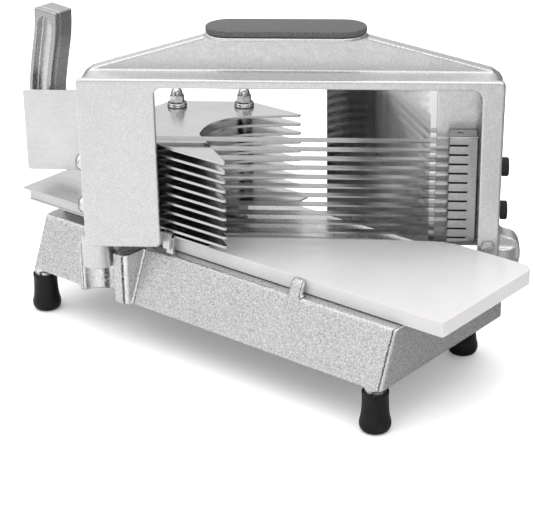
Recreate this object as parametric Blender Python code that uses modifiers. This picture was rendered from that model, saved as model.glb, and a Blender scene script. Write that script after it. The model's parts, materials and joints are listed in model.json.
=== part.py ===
"""Hand-operated tomato slicer: cast base on rubber boots, diagonal blade frame, finned pusher, board.

Metres, +Z up. +X runs along the base towards the output end. The origin is on the ground under the middle of
the whole slicer. The dimensions below are measured from the base's own centre, and from a datum plane just
above the ground; one root empty carries every piece from there to the origin.
"""

from math import atan2, cos, pi, radians, sin, sqrt

import bmesh
import bpy
from mathutils import Matrix, Vector
from mathutils.geometry import interpolate_bezier

# ---- driving dimensions -------------------------------------------------------------------------------
GAP = 0.0003                    # clearance between neighbouring pieces
BASE_CENTRE = (0.00286, -0.00189)
DATUM = 0.0035

BASE_HALF_LENGTH = 0.151
BASE_HALF_WIDTH = 0.068
BASE_BOTTOM = 0.0265
DECK = 0.0632
DECK_FRONT = -0.0527            # the front wall leans back to this line at deck level
WALL = 0.0045
DECK_THICKNESS = 0.0035
CORNER_RADIUS, INNER_CORNER_RADIUS = 0.0030, 0.0010
LEFT_RIB, RIGHT_POST = (-0.0990, -0.0728), (-0.0545, -0.0728)   # outer corners either side of the side pocket
PILASTER_BACK = -0.0480         # inner face of the solid behind the side pocket
POCKET_CENTRE, POCKET_RADIUS = (-0.0800, -0.0735), 0.0142
DECK_RIB_X, DECK_RIB_THICKNESS = (-0.0450, 0.0450), 0.0030
LEG_PAD_REACH, LEG_PAD_TOP = 0.0120, 0.0325
SPOT_FACE_RADIUS = 0.0060

FOOT_PLACES = {
    "front_left": (-0.1441, -0.0627),
    "front_right": (0.1426, -0.0613),
    "rear_right": (0.1265, 0.0590),
    "rear_left": (-0.1380, 0.0590),
}
STUB_RADIUS = 0.0069
STUB_BOTTOM = 0.0190
LUG_X, LUG_FOOT_WIDTH, LUG_TOP_WIDTH = 0.0727, 0.0104, 0.0100
# the lug's corners as (y, z), keyed by (upper, rear)
LUG_CORNERS = {
    (False, False): (-0.0560, 0.0563), (False, True): (-0.0500, 0.0563),
    (True, False): (-0.0497, 0.0712), (True, True): (-0.0462, 0.0738),
}

FRAME_ANGLE = radians(35.44)    # between the base's long axis and the blade frame
FRAME_ORIGIN = Vector((-0.0728, -0.0880, 0.0))
FRAME_LEFT, FRAME_RIGHT = -0.0020, 0.2690
FRAME_TOP = 0.1860
FRAME_DEPTH = 0.0300
FRAME_SKIN = 0.0050
WINDOW_LEFT, WINDOW_RIGHT, WINDOW_TOP = 0.0480, 0.2548, 0.1800
LEFT_COLUMN_BOTTOM, RIGHT_COLUMN_BOTTOM = 0.0708, 0.0645
GABLE_FRONT, GABLE_BACK, GABLE_TOP = 0.0190, 0.0290, 0.2085
GRIP_LEFT, GRIP_RIGHT, GRIP_FRONT, GRIP_BACK = 0.0790, 0.1825, 0.0090, 0.0390
GRIP_TOP = 0.2150
BACK_PLATE_LEFT, BACK_PLATE_FRONT, BACK_PLATE_BACK = 0.2272, 0.0218, 0.0250
BOSS_RADIUS = 0.0108
BOSS_BOTTOM = 0.0520
LEFT_BOSS_TOP = 0.0738          # stays under the left blade holder
RIGHT_BOSS_TOP = 0.0720
LEFT_BOSS, RIGHT_BOSS = (0.0038, 0.0150), (0.2720, 0.0130)   # along and behind the frame's front face

BLADE_COUNT = 11
BLADE_PITCH = 0.00635           # quarter-inch slices
FIRST_BLADE = 0.07795
BLADE_THICKNESS = 0.0005
BLADE_FRONT, BLADE_BACK = 0.0105, 0.0185
STACK_MIDDLE = FIRST_BLADE + 0.5 * (BLADE_COUNT - 1) * BLADE_PITCH
LEFT_HOLDER = (0.0100, 0.0270)
RIGHT_HOLDER = (0.2348, 0.2541)
HOLDER_BOTTOM, HOLDER_TOP = 0.0742, 0.1475
HOLDER_FRONT, HOLDER_BACK = 0.0065, 0.0215
ROD_RADIUS = 0.0015
LEFT_ROD, RIGHT_ROD = 0.0215, 0.2425
BLADE_SPAN = (0.0180, 0.2460)
FOOT_SCREW = (0.2612, 0.0745)
TENSION_SPREAD = 0.0150         # tension screws sit this far above and below the stack's middle
TENSION_DEPTH = 0.0145
TENSION_HEAD_RADIUS, TENSION_HEAD_LENGTH = 0.0062, 0.0045
TENSION_SOCKET_RADIUS, TENSION_SOCKET_DEPTH = 0.0030, 0.0026
DOME_NUT_RADIUS, DOME_NUT_LENGTH = 0.0062, 0.0022
DOME_RADIUS, DOME_HEIGHT = 0.0058, 0.0032

GUARD_SHEET_Y, GUARD_SHEET = 0.0622, 0.0010
GUARD_SHEET_LEFT, GUARD_TAB_END = 0.0098, 0.2375
GUARD_SHEET_BOTTOM, GUARD_SHEET_TOP = 0.0645, 0.1770
GUARD_SCREW_ALONG = 0.2325
GUARD_SCREW_RADIUS, GUARD_SCREW_HOLE = 0.0020, 0.0023
GUARD_SCREW_HEAD, GUARD_SCREW_TIP, GUARD_SCREW_SEAT = (0.0040, 0.0026, 0.0020), 0.0230, 0.0226
GUARD_SCREW_HEIGHTS = {"lower": 0.0860, "upper": 0.1640}

SLIDE_LEFT, SLIDE_RIGHT = -0.1740, 0.0000
SLIDE_FRONT, SLIDE_BACK = -0.0505, 0.0575
SLIDE_TOP, SLIDE_SHEET = 0.0770, 0.0014
FLANGE_LEFT, FLANGE_RIGHT = -0.1710, -0.0950
FLANGE_FRONT, FLANGE_BACK, FLANGE_BOTTOM = -0.0470, 0.0540, 0.0675
FLANGE_SHEET = 0.0010

FIN_COUNT = 10
FIN_THICKNESS = 0.0020
FIRST_FIN = FIRST_BLADE + 0.5 * BLADE_PITCH
FIN_LEFT, FIN_FRONT, FIN_BACK = -0.0930, -0.0525, 0.0500
POCKET_FRONT, POCKET_MIDDLE, POCKET_REAR = (-0.0309, -0.0214), (-0.0385, 0.0050), (-0.0250, 0.0290)
FRONT_PRONG, REAR_PRONG = (0.0167, -0.0505), (-0.0027, 0.0480)
STUDS = {"front": (-0.0810, 0.0122), "rear": (-0.0443, 0.0399)}
STUD_RADIUS = 0.0025
COLLAR_RADIUS = 0.0055

HAND_GUARD_DEPTH = 0.0980       # distance behind the frame's front face
HAND_GUARD_SHEET = 0.0015
HAND_GUARD = (-0.0580, 0.0300, 0.0870, 0.1460)
GUARD_STUD_HEIGHTS = {"lower": 0.1010, "upper": 0.1290}
GUARD_STUD_ALONG = -0.0180
GUARD_STUD_RADIUS, GUARD_STUD_HOLE = 0.0020, 0.0023
GUARD_NUT_RADIUS, GUARD_NUT_HEIGHT = 0.0040, 0.0032
LUG_THICKNESS = 0.0095
# the handle's lug behind the guard, and the foot below it
LUG_SPAN, FOOT_SPAN = (-0.0370, -0.0100), (-0.0130, 0.0080)
LUG_BOTTOM, LUG_TOP, FOOT_TOP = 0.0920, 0.1380, 0.1040
FOOT_BOLT_ALONG = -0.0025
HANDLE_SPINE = (
    (-0.1645, 0.0755), (-0.1690, 0.0950), (-0.1735, 0.1200), (-0.1745, 0.1420),
    (-0.1705, 0.1640), (-0.1655, 0.1850), (-0.1640, 0.2020),
)
HANDLE_Y = -0.0200
HANDLE_WIDTH, HANDLE_DEPTH, HANDLE_BOTTOM = 0.0215, 0.0170, 0.0890
CHANNEL_WIDTH, CHANNEL_DEPTH = 0.0135, 0.0050
CHANNEL_BOTTOM, CHANNEL_END = 0.0900, (-0.1648, 0.1906)

BOARD_RIGHT, BOARD_FRONT, BOARD_BACK = 0.1797, -0.0453, 0.0570
BOARD_BOTTOM, BOARD_TOP = 0.0638, 0.0735
BOARD_DIAGONAL = (-0.0517, 0.1145)
BOARD_CORNER = 0.0080
CLIP_TOP = 0.0798               # under the lowest fin

SCREW_RADIUS = 0.0025
SCREW_HOLE = 0.0028

# ---- scene and helpers --------------------------------------------------------------------------------
for old in list(bpy.data.objects):
    bpy.data.objects.remove(old, do_unlink=True)

PARTS = bpy.data.collections.new("tomato_slicer")
CUTTERS = bpy.data.collections.new("tomato_slicer_cutters")
bpy.context.scene.collection.children.link(PARTS)
bpy.context.scene.collection.children.link(CUTTERS)


def material(name, colour, roughness, metallic):
    made = bpy.data.materials.new(name)
    made.use_nodes = True
    shader = made.node_tree.nodes["Principled BSDF"]
    shader.inputs["Base Color"].default_value = (*colour, 1.0)
    shader.inputs["Roughness"].default_value = roughness
    shader.inputs["Metallic"].default_value = metallic
    made.diffuse_color = (*colour, 1.0)
    return made


CAST = ("cast_aluminium", (0.74, 0.74, 0.75), 0.45, 0.9)
STEEL = ("stainless_sheet", (0.72, 0.72, 0.73), 0.28, 1.0)
MIRROR_STEEL = ("polished_stainless", (0.80, 0.80, 0.81), 0.10, 1.0)
CHROME = ("chrome", (0.85, 0.85, 0.86), 0.08, 1.0)
BLACK_STEEL = ("black_steel", (0.03, 0.03, 0.03), 0.45, 0.6)
RUBBER = ("rubber", (0.02, 0.02, 0.02), 0.60, 0.0)
WHITE_PLASTIC = ("white_plastic", (0.86, 0.86, 0.86), 0.40, 0.0)
PAD_GREY = ("pad_grey", (0.16, 0.16, 0.17), 0.65, 0.0)


def empty(name, place, turn=0.0):
    made = bpy.data.objects.new(name, None)
    made.location = place
    made.rotation_euler = (0.0, 0.0, turn)
    PARTS.objects.link(made)
    return made


def finish_mesh(bm, name):
    bmesh.ops.recalc_face_normals(bm, faces=bm.faces)
    mesh = bpy.data.meshes.new(name)
    bm.to_mesh(mesh)
    bm.free()
    mesh.shade_smooth()
    mesh.set_sharp_from_angle(angle=radians(35))
    return mesh


def part(name, mesh, finish, place=(0, 0, 0), parent=None):
    """A finished piece: its own object with its own material."""
    made = bpy.data.objects.new(name, mesh)
    made.location = place
    made.parent = parent
    mesh.materials.clear()
    label, colour, roughness, metallic = finish
    mesh.materials.append(material(f"{name}_{label}", colour, roughness, metallic))
    PARTS.objects.link(made)
    return made


def tool(name, mesh, parent=None, place=(0, 0, 0)):
    """A shape that only cuts or joins another."""
    made = bpy.data.objects.new(name, mesh)
    made.location = place
    made.parent = parent
    made.hide_render = True
    made.display_type = "WIRE"
    CUTTERS.objects.link(made)
    return made


def combine(target, other, operation):
    step = target.modifiers.new(f"{operation.lower()}_{other.name}", "BOOLEAN")
    step.operation = operation
    step.object = other
    step.solver = "EXACT"


def cut(target, *tools):
    for other in tools:
        combine(target, other, "DIFFERENCE")


def join(target, *tools):
    for other in tools:
        combine(target, other, "UNION")


def block_mesh(name, low, high, bevel=0.0, segments=2):
    low, high = Vector(low), Vector(high)
    bm = bmesh.new()
    bmesh.ops.create_cube(bm, size=1.0)
    bmesh.ops.scale(bm, vec=high - low, verts=bm.verts)
    bmesh.ops.translate(bm, vec=(low + high) / 2, verts=bm.verts)
    if bevel:
        bmesh.ops.bevel(bm, geom=bm.edges[:], offset=bevel, segments=segments, profile=0.5, affect="EDGES")
    return finish_mesh(bm, name)


def rod_mesh(name, start, end, radius, segments=20, tip_radius=None):
    """A cylinder, cone or hexagon between two points."""
    start, end = Vector(start), Vector(end)
    along = end - start
    bm = bmesh.new()
    bmesh.ops.create_cone(
        bm, cap_ends=True, segments=segments, radius1=radius,
        radius2=radius if tip_radius is None else tip_radius, depth=along.length,
    )
    turn = along.to_track_quat("Z", "Y").to_matrix().to_4x4()
    bmesh.ops.transform(bm, matrix=Matrix.Translation((start + end) / 2) @ turn, verts=bm.verts)
    return finish_mesh(bm, name)


def arc(centre, radius, start, end, steps):
    turn = (end - start) / steps
    return [
        (centre[0] + radius * cos(start + turn * i), centre[1] + radius * sin(start + turn * i))
        for i in range(steps + 1)
    ]


def rounded(corners, steps=4):
    """An outline from (x, y, radius) corners, each rounded by an arc."""
    points = []
    for i, (x, y, radius) in enumerate(corners):
        here = Vector((x, y))
        before = Vector(corners[i - 1][:2]) - here
        after = Vector(corners[(i + 1) % len(corners)][:2]) - here
        if radius == 0.0:
            points.append((x, y))
            continue
        before.normalize()
        after.normalize()
        half = before.angle(after) / 2
        centre = here + (before + after).normalized() * (radius / sin(half))
        first = here + before * (radius * cos(half) / sin(half)) - centre
        last = here + after * (radius * cos(half) / sin(half)) - centre
        sweep = first.angle_signed(last)
        start = atan2(first.y, first.x)
        points += arc(centre, radius, start, start - sweep, steps)
    return points


def plate_mesh(name, outline, low, high, upright=False):
    """A flat outline given thickness: from low to high in Z, or in Y for an upright plate in X and Z."""
    curve = bpy.data.curves.new(name, "CURVE")
    curve.dimensions = "2D"
    curve.fill_mode = "BOTH"
    curve.extrude = (high - low) / 2
    spline = curve.splines.new("POLY")
    spline.points.add(len(outline) - 1)
    spline.use_cyclic_u = True
    for point, (x, y) in zip(spline.points, outline):
        point.co = (x, y, 0.0, 1.0)
    carrier = bpy.data.objects.new(name, curve)
    bpy.context.scene.collection.objects.link(carrier)
    bpy.context.view_layer.update()
    evaluated = carrier.evaluated_get(bpy.context.evaluated_depsgraph_get())
    mesh = bpy.data.meshes.new_from_object(evaluated)
    bpy.data.objects.remove(carrier, do_unlink=True)
    bm = bmesh.new()
    bm.from_mesh(mesh)
    bpy.data.meshes.remove(mesh)
    bmesh.ops.remove_doubles(bm, verts=bm.verts, dist=0.00001)
    lift = Matrix.Translation((0.0, 0.0, (low + high) / 2))
    turn = Matrix.Rotation(pi / 2, 4, "X") if upright else Matrix.Identity(4)
    if upright:
        lift = Matrix.Translation((0.0, (low + high) / 2, 0.0))
    bmesh.ops.transform(bm, matrix=lift @ turn, verts=bm.verts)
    return finish_mesh(bm, name)


def turned_mesh(name, profile, steps=24):
    """A profile of (radius, height) points spun about Z, listed from the top of the axis back to it."""
    bm = bmesh.new()
    line = [bm.verts.new((radius, 0.0, height)) for radius, height in profile]
    for first, second in zip(line, line[1:]):
        bm.edges.new((first, second))
    bmesh.ops.spin(
        bm, geom=bm.verts[:] + bm.edges[:], cent=(0, 0, 0), axis=(0, 0, 1), angle=2 * pi, steps=steps,
        use_merge=True,
    )
    bmesh.ops.remove_doubles(bm, verts=bm.verts, dist=0.00001)
    return finish_mesh(bm, name)


def joined_mesh(name, *meshes):
    """Several separate closed shapes in one mesh, for a cutter that repeats."""
    bm = bmesh.new()
    for mesh in meshes:
        bm.from_mesh(mesh)
        bpy.data.meshes.remove(mesh)
    return finish_mesh(bm, name)


def from_frame(along, behind):
    return (
        FRAME_ORIGIN.x + along * cos(FRAME_ANGLE) - behind * sin(FRAME_ANGLE),
        FRAME_ORIGIN.y + along * sin(FRAME_ANGLE) + behind * cos(FRAME_ANGLE),
    )


FRAME_BOLT_X = {"left": from_frame(*LEFT_BOSS)[0], "right": from_frame(*RIGHT_BOSS)[0] - 0.0030}
FRAME_BOLT_HEIGHT = 0.0552
GUARD_BACK = HAND_GUARD_DEPTH + HAND_GUARD_SHEET
FOOT_BOLT = from_frame(FOOT_BOLT_ALONG, GUARD_BACK + GAP + LUG_THICKNESS / 2)

BASE = empty("base_origin", (*BASE_CENTRE, DATUM))
FRAME = empty("blade_frame_origin", FRAME_ORIGIN, FRAME_ANGLE)
PUSHER = empty("pusher_slide_origin", (FIN_LEFT, 0.0, SLIDE_TOP))
BOARD = empty("board_slide_origin", (BOARD_RIGHT, 0.0, BOARD_TOP))
for carried in (FRAME, PUSHER, BOARD):
    carried.parent = BASE


def on_pusher(x, y, z):
    return (x - FIN_LEFT, y, z - SLIDE_TOP)


# ---- base ---------------------------------------------------------------------------------------------
def leaning_shell_mesh(name, inset, bottom, top, radius):
    """A box whose front wall leans back; its upright corners are rounded."""
    lean = (DECK_FRONT + BASE_HALF_WIDTH) / (DECK - BASE_BOTTOM)
    bm = bmesh.new()
    bmesh.ops.create_cube(bm, size=2.0)
    for vert in bm.verts:
        height = top if vert.co.z > 0 else bottom
        front = -BASE_HALF_WIDTH + lean * (height - BASE_BOTTOM) + inset * sqrt(1 + lean * lean)
        vert.co.x *= BASE_HALF_LENGTH - inset
        vert.co.y = BASE_HALF_WIDTH - inset if vert.co.y > 0 else front
        vert.co.z = height
    upright = [e for e in bm.edges if abs(e.verts[0].co.z - e.verts[1].co.z) > 0.01]
    bmesh.ops.bevel(bm, geom=upright, offset=radius, segments=4, profile=0.5, affect="EDGES")
    if inset == 0.0:
        rim = [e for e in bm.edges if all(v.co.z > top - 0.0001 for v in e.verts)]
        bmesh.ops.bevel(bm, geom=rim, offset=0.0012, segments=2, profile=0.5, affect="EDGES")
    return finish_mesh(bm, name)


def board_lug_mesh():
    """The tapered post that rises from the front wall and keeps the board's front edge in place."""
    bm = bmesh.new()
    bmesh.ops.create_cube(bm, size=1.0)
    for vert in bm.verts:
        upper, rear = vert.co.z > 0, vert.co.y > 0
        half = LUG_TOP_WIDTH / 2 if upper else LUG_FOOT_WIDTH / 2
        vert.co.x = LUG_X + (half if vert.co.x > 0 else -half)
        vert.co.y, vert.co.z = LUG_CORNERS[upper, rear]
    bmesh.ops.bevel(bm, geom=bm.edges[:], offset=0.0008, segments=1, affect="EDGES")
    return finish_mesh(bm, "board_lug")


def make_base():
    shell = leaning_shell_mesh("base_casting", 0.0, BASE_BOTTOM, DECK, CORNER_RADIUS)
    base = part("base_casting", shell, CAST, parent=BASE)
    roof = DECK - DECK_THICKNESS
    hollow = leaning_shell_mesh("base_hollow", WALL, BASE_BOTTOM - 0.01, roof, INNER_CORNER_RADIUS)
    pilaster = plate_mesh(
        "side_pocket_pilaster",
        rounded([
            (*LEFT_RIB, 0.0018), (*RIGHT_POST, 0.0045),
            (RIGHT_POST[0], PILASTER_BACK, 0.0), (LEFT_RIB[0], PILASTER_BACK, 0.0),
        ]),
        BASE_BOTTOM, DECK - 0.0004,
    )
    cut(base, tool("base_hollow", hollow, BASE))
    join(base, tool("side_pocket_pilaster", pilaster, BASE))
    ends = ((*POCKET_CENTRE, 0.01), (*POCKET_CENTRE, 0.08))
    pocket = rod_mesh("side_pocket", *ends, POCKET_RADIUS, 32)
    cut(base, tool("side_pocket", pocket, BASE))

    for i, x in enumerate(DECK_RIB_X):
        half = DECK_RIB_THICKNESS / 2
        rib = block_mesh(f"deck_rib_{i}", (x - half, -0.0530, 0.0500), (x + half, 0.0650, 0.0610))
        join(base, tool(f"deck_rib_{i}", rib, BASE))

    for name, (x, y) in FOOT_PLACES.items():
        side_x, side_y = (1 if x > 0 else -1), (1 if y > 0 else -1)
        pad_x = sorted((x - side_x * LEG_PAD_REACH, side_x * (BASE_HALF_LENGTH - 0.0015)))
        pad_y = sorted((y - side_y * LEG_PAD_REACH, side_y * (BASE_HALF_WIDTH - 0.0030)))
        low, high = (pad_x[0], pad_y[0], BASE_BOTTOM + 0.0002), (pad_x[1], pad_y[1], LEG_PAD_TOP)
        pad = block_mesh(f"leg_pad_{name}", low, high)
        stub_top = BASE_BOTTOM + 0.0004
        stub = rod_mesh(f"leg_stub_{name}", (x, y, STUB_BOTTOM), (x, y, stub_top), STUB_RADIUS, 24)
        join(base, tool(f"leg_pad_{name}", pad, BASE), tool(f"leg_stub_{name}", stub, BASE))

    join(base, tool("board_lug", board_lug_mesh(), BASE))

    x, spot_end = FRAME_BOLT_X["right"], from_frame(*RIGHT_BOSS)[1] - BOSS_RADIUS - GAP
    height = FRAME_BOLT_HEIGHT
    spot = rod_mesh("rear_spot_face", (x, 0.0660, height), (x, spot_end, height), SPOT_FACE_RADIUS)
    rear_hole = rod_mesh("rear_bolt_hole", (x, 0.05, height), (x, 0.09, height), SCREW_HOLE, 16)
    x = FRAME_BOLT_X["left"]
    front_hole = rod_mesh("front_bolt_hole", (x, -0.08, height), (x, -0.04, height), SCREW_HOLE, 16)
    join(base, tool("rear_spot_face", spot, BASE))
    cut(base, tool("rear_bolt_hole", rear_hole, BASE), tool("front_bolt_hole", front_hole, BASE))


def make_feet():
    """Rubber boots with a round sole, flat in its middle, pressed over the leg stubs."""
    sole = -DATUM
    profile = [
        (0.0, 0.0185), (STUB_RADIUS + GAP, 0.0185), (STUB_RADIUS + GAP, 0.0234), (0.0079, 0.0237),
        (0.0084, 0.0229), (0.0084, 0.0185), (0.0088, 0.0115), (0.0095, 0.0060), (0.0100, 0.0030),
        (0.0099, sole + 0.0045), (0.0091, sole + 0.0020), (0.0077, sole + 0.0006), (0.0060, sole),
        (0.0, sole),
    ]
    for name, (x, y) in FOOT_PLACES.items():
        boot = turned_mesh(f"rubber_foot_{name}", profile, 20)
        part(f"rubber_foot_{name}", boot, RUBBER, (x, y, 0.0), BASE)


# ---- blade frame --------------------------------------------------------------------------------------
def make_frame():
    face = rounded([
        (FRAME_LEFT + 0.0006, LEFT_COLUMN_BOTTOM, 0.0045), (FRAME_LEFT, FRAME_TOP, 0.0030),
        (FRAME_RIGHT, FRAME_TOP, 0.0030), (FRAME_RIGHT - 0.0010, RIGHT_COLUMN_BOTTOM, 0.0),
        (WINDOW_RIGHT, RIGHT_COLUMN_BOTTOM, 0.0), (WINDOW_RIGHT, WINDOW_TOP, 0.0060),
        (WINDOW_LEFT, WINDOW_TOP, 0.0040), (WINDOW_LEFT + 0.0003, LEFT_COLUMN_BOTTOM, 0.0030),
    ])
    frame = part("blade_frame", plate_mesh("blade_frame", face, 0.0, FRAME_SKIN, True), CAST, parent=FRAME)
    skin = FRAME_SKIN
    hoop = rounded([
        (FRAME_LEFT + 0.0006, LEFT_COLUMN_BOTTOM + 0.0005, 0.0), (FRAME_LEFT, FRAME_TOP, 0.0085),
        (FRAME_RIGHT, FRAME_TOP, 0.0085), (FRAME_RIGHT - 0.0010, RIGHT_COLUMN_BOTTOM + 0.0005, 0.0),
        (FRAME_RIGHT - skin - 0.0010, RIGHT_COLUMN_BOTTOM + 0.0005, 0.0),
        (FRAME_RIGHT - skin, FRAME_TOP - skin, 0.0040), (FRAME_LEFT + skin, FRAME_TOP - skin, 0.0040),
        (FRAME_LEFT + skin + 0.0006, LEFT_COLUMN_BOTTOM + 0.0005, 0.0),
    ])
    gable = rounded([
        (0.0020, FRAME_TOP - 0.0040, 0.0), (0.0050, FRAME_TOP + 0.0012, 0.0020),
        (GRIP_LEFT, GABLE_TOP, 0.0060), (GRIP_RIGHT, GABLE_TOP, 0.0060),
        (0.2620, FRAME_TOP + 0.0012, 0.0020), (0.2650, FRAME_TOP - 0.0040, 0.0),
    ])
    lip_radius = (GRIP_BACK - GRIP_FRONT) / 2
    lip = stadium(GRIP_LEFT, GRIP_RIGHT, GRIP_FRONT, GRIP_BACK, lip_radius, 8)
    back = [
        (BACK_PLATE_LEFT, RIGHT_COLUMN_BOTTOM + 0.0010), (BACK_PLATE_LEFT, WINDOW_TOP + 0.0030),
        (FRAME_RIGHT - 0.0030, WINDOW_TOP + 0.0030), (FRAME_RIGHT - 0.0030, RIGHT_COLUMN_BOTTOM + 0.0010),
    ]
    ogee = (
        [(0.2635, 0.0900), (FRAME_RIGHT - 0.0008, 0.0875)]
        + arc((0.2750, 0.0870), 0.0075, radians(190), radians(250), 4)
        + arc((0.2722, 0.0695), 0.0106, radians(60), radians(0), 5)
        + [(0.2828, 0.0640), (0.2635, 0.0640)]
    )
    ends = ((*LEFT_BOSS, BOSS_BOTTOM), (*LEFT_BOSS, LEFT_BOSS_TOP))
    left_boss = rod_mesh("left_foot_boss", *ends, BOSS_RADIUS, 32)
    ends = ((*RIGHT_BOSS, BOSS_BOTTOM), (*RIGHT_BOSS, RIGHT_BOSS_TOP))
    right_boss = rod_mesh("right_foot_boss", *ends, BOSS_RADIUS, 32)
    back_plate = plate_mesh("back_plate", back, BACK_PLATE_FRONT, BACK_PLATE_BACK, True)
    join(
        frame,
        tool("frame_hoop", plate_mesh("frame_hoop", hoop, 0.0003, FRAME_DEPTH, True), FRAME),
        tool("gable_web", plate_mesh("gable_web", gable, GABLE_FRONT, GABLE_BACK, True), FRAME),
        tool("grip_lip", plate_mesh("grip_lip", lip, GABLE_TOP - 0.0002, GABLE_TOP + 0.0023), FRAME),
        tool("back_plate", back_plate, FRAME),
        tool("foot_ogee", plate_mesh("foot_ogee", ogee, 0.0052, 0.0208, True), FRAME),
        tool("left_foot_boss", left_boss, FRAME),
        tool("right_foot_boss", right_boss, FRAME),
    )
    holes = []
    for sign in (-1, 1):
        height = STACK_MIDDLE + sign * TENSION_SPREAD
        for side, (start, end) in {"left": (-0.01, 0.01), "right": (0.255, 0.285)}.items():
            name = f"tension_hole_{side}_{sign}"
            ends = ((start, TENSION_DEPTH, height), (end, TENSION_DEPTH, height))
            holes.append(tool(name, rod_mesh(name, *ends, SCREW_HOLE + 0.0002, 16), FRAME))
    for name, height in GUARD_SCREW_HEIGHTS.items():
        ends = ((GUARD_SCREW_ALONG, GUARD_SCREW_SEAT, height), (GUARD_SCREW_ALONG, 0.035, height))
        hole = rod_mesh(f"guard_hole_{name}", *ends, GUARD_SCREW_HOLE, 16)
        holes.append(tool(hole.name, hole, FRAME))
    ends = ((FOOT_SCREW[0], -0.01, FOOT_SCREW[1]), (FOOT_SCREW[0], 0.0125, FOOT_SCREW[1]))
    holes.append(tool("foot_screw_hole", rod_mesh("foot_screw_hole", *ends, SCREW_HOLE, 16), FRAME))
    cut(frame, *holes)
    for name, boss in (("left", LEFT_BOSS), ("right", RIGHT_BOSS)):
        x, y = FRAME_BOLT_X[name], from_frame(*boss)[1]
        start, end = (y + 0.0020, y + 0.02) if name == "left" else (y - 0.02, y - 0.0010)
        ends = ((x, start, FRAME_BOLT_HEIGHT), (x, end, FRAME_BOLT_HEIGHT))
        cut(frame, tool(f"boss_bore_{name}", rod_mesh(f"boss_bore_{name}", *ends, SCREW_HOLE, 16), BASE))


def stadium(left, right, front, back, radius, steps):
    return (
        arc((right - radius, (front + back) / 2), radius, -pi / 2, pi / 2, steps)
        + arc((left + radius, (front + back) / 2), radius, pi / 2, 3 * pi / 2, steps)
    )


def make_grip():
    radius = (GRIP_BACK - GRIP_FRONT) / 2
    outline = stadium(GRIP_LEFT + 0.0004, GRIP_RIGHT - 0.0004, GRIP_FRONT, GRIP_BACK, radius, 10)
    grip = part("carry_grip", plate_mesh("carry_grip", outline, GABLE_TOP + 0.0026, GRIP_TOP),
                PAD_GREY, parent=FRAME)
    soft = grip.modifiers.new("soft_edge", "BEVEL")
    soft.width = 0.0012
    soft.segments = 2
    soft.limit_method = "ANGLE"


# ---- blades and their holders -------------------------------------------------------------------------
def holder_slots_mesh(name, start, end):
    slots = []
    for k in range(BLADE_COUNT):
        height = FIRST_BLADE + k * BLADE_PITCH
        low = (start, HOLDER_FRONT - 0.002, height - BLADE_THICKNESS / 2 - GAP)
        high = (end, BLADE_BACK + GAP, height + BLADE_THICKNESS / 2 + GAP)
        slots.append(block_mesh(f"{name}_{k}", low, high))
    return joined_mesh(name, *slots)


def make_holder(side, span, slot, rod_along, screw_reach):
    low = (span[0], HOLDER_FRONT, HOLDER_BOTTOM)
    high = (span[1], HOLDER_BACK, HOLDER_TOP)
    block = block_mesh(f"{side}_blade_holder", low, high, 0.0010, 1)
    holder = part(f"{side}_blade_holder", block, STEEL, parent=FRAME)
    cut(holder, tool(f"{side}_holder_slots", holder_slots_mesh(f"{side}_holder_slots", *slot), FRAME))
    middle = (BLADE_FRONT + BLADE_BACK) / 2
    ends = ((rod_along, middle, HOLDER_BOTTOM - 0.01), (rod_along, middle, HOLDER_TOP + 0.01))
    cut(holder, tool(f"{side}_rod_hole", rod_mesh(f"{side}_rod_hole", *ends, ROD_RADIUS + GAP, 16), FRAME))
    for sign in (-1, 1):
        name = f"{side}_screw_hole_{sign}"
        height = STACK_MIDDLE + sign * TENSION_SPREAD
        ends = ((screw_reach[0], TENSION_DEPTH, height), (screw_reach[1], TENSION_DEPTH, height))
        cut(holder, tool(name, rod_mesh(name, *ends, SCREW_HOLE, 16), FRAME))
    ends = ((rod_along, middle, HOLDER_BOTTOM + 0.0004), (rod_along, middle, HOLDER_TOP - 0.0004))
    part(f"{side}_blade_rod", rod_mesh(f"{side}_blade_rod", *ends, ROD_RADIUS, 14), STEEL, parent=FRAME)


def make_blades():
    middle = (BLADE_FRONT + BLADE_BACK) / 2
    for k in range(BLADE_COUNT):
        name = f"blade_{k + 1:02d}"
        height = FIRST_BLADE + k * BLADE_PITCH
        half = BLADE_THICKNESS / 2
        low = (BLADE_SPAN[0], BLADE_FRONT, height - half)
        high = (BLADE_SPAN[1], BLADE_BACK, height + half)
        blade = part(name, block_mesh(name, low, high), STEEL, parent=FRAME)
        for side, along in (("left", LEFT_ROD), ("right", RIGHT_ROD)):
            eye = f"{name}_{side}_eye"
            ends = ((along, middle, height - 0.002), (along, middle, height + 0.002))
            cut(blade, tool(eye, rod_mesh(eye, *ends, ROD_RADIUS + GAP, 14), FRAME))


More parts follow.
